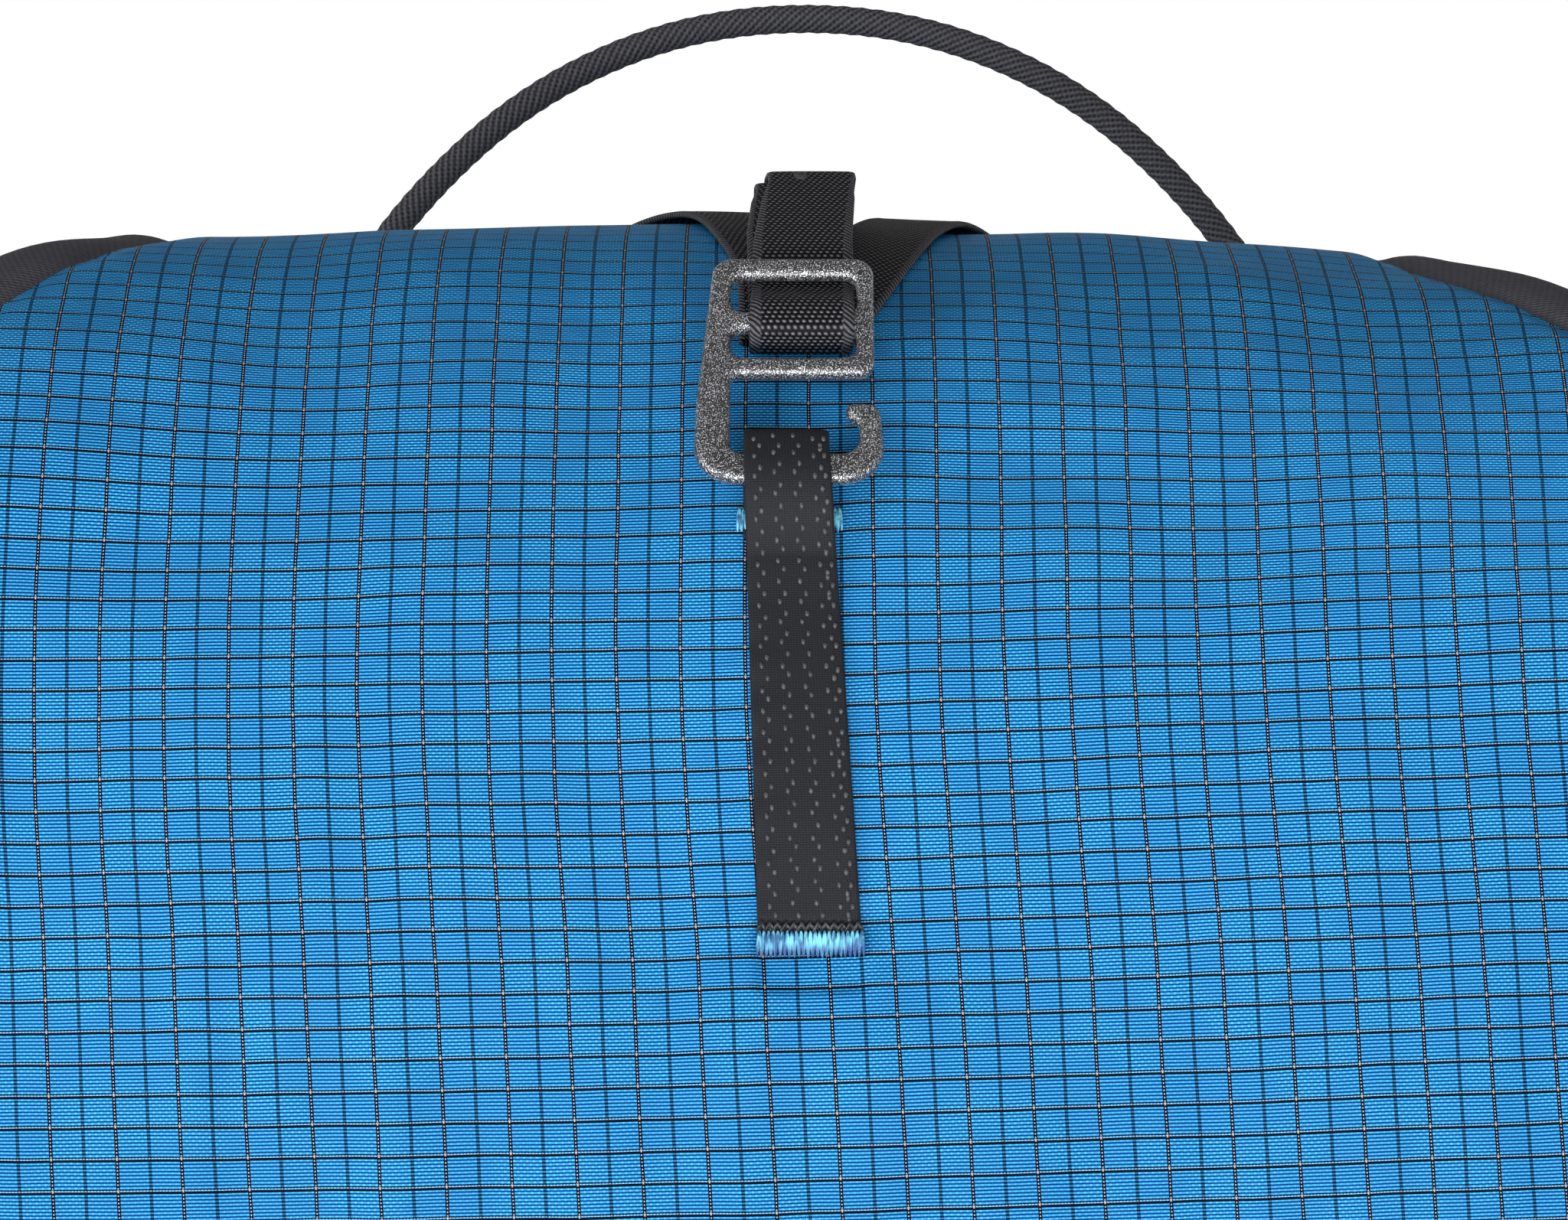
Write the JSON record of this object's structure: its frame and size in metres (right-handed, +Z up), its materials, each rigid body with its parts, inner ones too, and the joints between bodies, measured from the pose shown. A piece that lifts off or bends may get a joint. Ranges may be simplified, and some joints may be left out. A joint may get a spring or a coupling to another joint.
{
  "type": "stuff sack",
  "caption": "Domed ripstop sack with dark gussets, a rope haul loop, and a top flap held down by elastic straps, a cast hook and a strip of gripper tape",
  "frame": {"origin": "middle of the bottom panel, on the face that the sack stands on", "axes": "X to the right of the sack, Y to its back, Z up; the hook and the tape are on the front, which faces -Y"},
  "size_m": [0.292, 0.1706, 0.4923],
  "materials": {
    "blue_ripstop": "coated ripstop weave with a light and dark grid",
    "charcoal_cloth": "fine matt stretch weave",
    "binding_tape": "plain woven binding tape",
    "black_elastic": "knitted elastic with a slight gloss",
    "gripper_tape": "elastic tape printed with small silicone dots",
    "blue_thread": "glossy embroidery thread",
    "black_thread": "glossy thread",
    "coated_hook": "fine speckled coating with bright worn edges",
    "rope_webbing": "tight twill webbing"
  },
  "bodies": {
    "sack": {"front_panel": "blue_ripstop", "back_panel": "blue_ripstop", "left_gusset": "charcoal_cloth", "right_gusset": "charcoal_cloth", "bottom_panel": "charcoal_cloth", "left_front_binding": "binding_tape", "right_front_binding": "binding_tape", "left_back_binding": "binding_tape", "right_back_binding": "binding_tape", "mouth_placket": "binding_tape", "back_hem": "binding_tape", "tape_backing": "binding_tape", "tape_loop": "gripper_tape", "gripper_tape": "gripper_tape", "upper_tape_tack": "blue_thread", "lower_tape_tack": "blue_thread", "loop_tabs": "rope_webbing", "loop_tacks": "black_thread"},
    "flap": {"top_flap": "blue_ripstop", "flap_bead": "binding_tape", "v_strap_left": "black_elastic", "v_strap_right": "black_elastic", "leg_tacks": "black_thread", "hook_strap": "black_elastic", "strap_tack": "black_thread"},
    "hook": {"g_hook": "coated_hook", "strap_wrap": "black_elastic"},
    "loop": {"haul_loop": "rope_webbing"}
  },
  "joints": [
    {"name": "flap_hinge", "type": "hinge", "parent": "sack", "child": "flap", "pos_m": [0, 0.06052, 0.41721], "axis": [-1, 0, 0], "range_deg": [0, 55], "deforming": ["tape_loop"]},
    {"name": "hook_swing", "type": "hinge", "parent": "flap", "child": "hook", "pos_m": [-0.0022, -0.03232, 0.44341], "axis": [1, 0, 0], "range_deg": [0, 33]},
    {"name": "loop_swing", "type": "hinge", "parent": "sack", "child": "loop", "pos_m": [0, 0.06778, 0.41278], "axis": [-1, 0, 0], "range_deg": [0, 135]}
  ],
  "couplings": [
    {"joint": "hook_swing", "follows": "flap_hinge", "ratio": 0.6}
  ]
}
